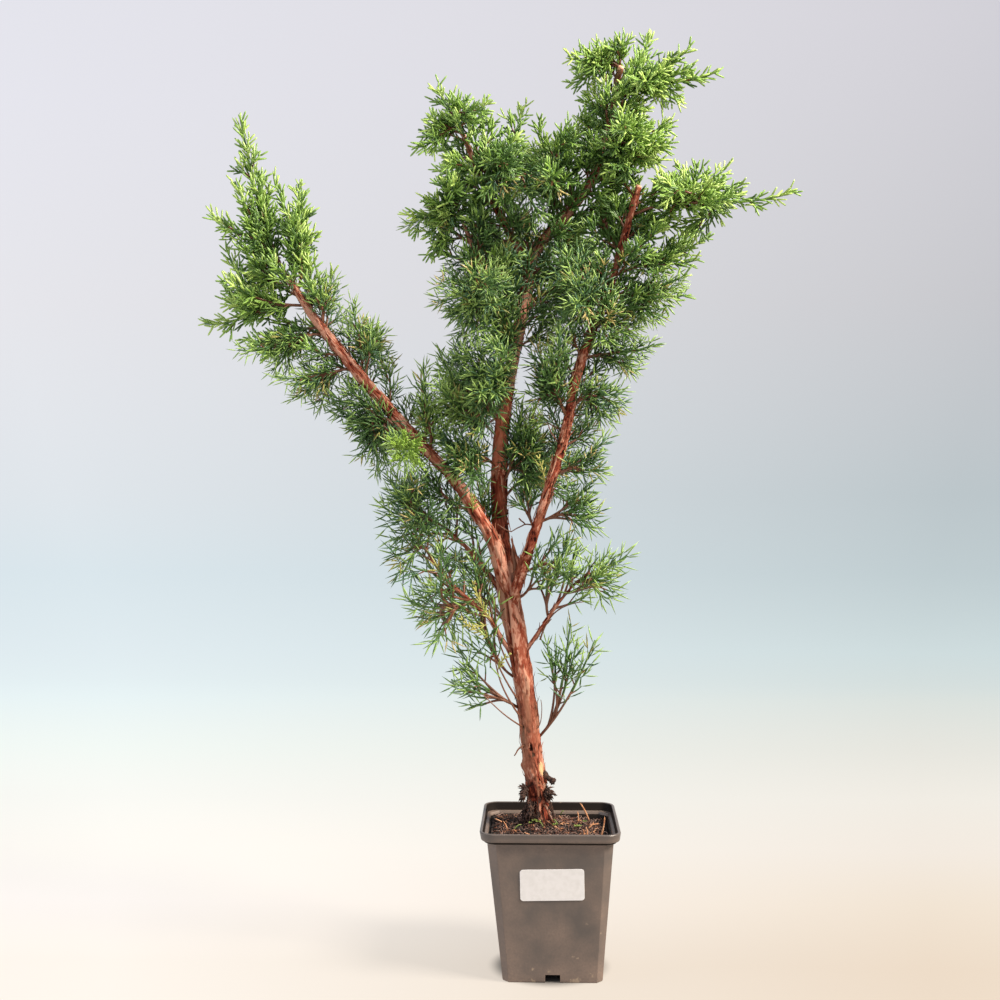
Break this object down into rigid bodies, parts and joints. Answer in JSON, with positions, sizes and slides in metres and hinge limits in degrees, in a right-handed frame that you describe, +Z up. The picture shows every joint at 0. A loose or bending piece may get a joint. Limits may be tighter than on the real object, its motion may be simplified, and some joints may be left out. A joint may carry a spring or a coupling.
{
  "type": "potted kishu juniper bonsai",
  "caption": "Young kishu juniper bonsai with a leaning forked trunk and open masses of needle foliage, standing in a square plastic nursery pot.",
  "frame": {"origin": "centre of the pot's flat underside, on the level surface that it stands on", "axes": "+Z up; +X and +Y square with the pot's walls, with the label on the -Y wall and the leaning left bough towards -X"},
  "size_m": [0.474, 0.2236, 0.757],
  "materials": {
    "pot": "moulded plastic, satin, with dry dust",
    "soil": "moist fibrous peat",
    "label": "bare paper sticker",
    "bark": "reddish bark that peels in strips",
    "foliage": "fresh green needles, paler at the tips"
  },
  "bodies": {
    "root": {"back_base": "foliage", "back_high": "foliage", "back_high_bough": "bark", "back_low": "foliage", "back_low_bough": "bark", "back_right": "foliage", "between": "foliage", "centre_left": "foliage", "centre_right": "foliage", "centre_right_bough": "bark", "centre_right_low": "foliage", "crown_back": "foliage", "crown_centre": "foliage", "crown_left": "foliage", "crown_left_inner": "foliage", "crown_right": "foliage", "crown_top": "foliage", "crown_top_right": "foliage", "inner_left": "foliage", "inner_left_low": "foliage", "label": "label", "left_arm": "foliage", "left_block": "foliage", "left_bough": "bark", "left_fan": "foliage", "left_front": "foliage", "left_low": "foliage", "left_mid_bough": "bark", "left_second_spire": "foliage", "left_spire": "foliage", "left_tuft_high": "foliage", "left_tufts": "foliage", "left_under": "foliage", "left_under_low": "foliage", "low_left_bough": "bark", "low_left_inner": "foliage", "low_left_outer": "foliage", "low_right_bough": "bark", "lower_left": "foliage", "lower_left_bough": "bark", "lower_right": "foliage", "lower_right_inner": "foliage", "lowest_left": "foliage", "lowest_right": "foliage", "pot": "pot", "right_bough": "bark", "right_inner": "foliage", "right_low": "foliage", "right_lower": "foliage", "right_lowest": "foliage", "right_mid": "foliage", "right_spur_high": "foliage", "right_spur_low": "foliage", "right_tip": "foliage", "soil": "soil", "torn_stub": "bark", "trunk": "bark", "upper_left_bough": "bark", "upright_shoot": "foliage"}
  },
  "joints": []
}
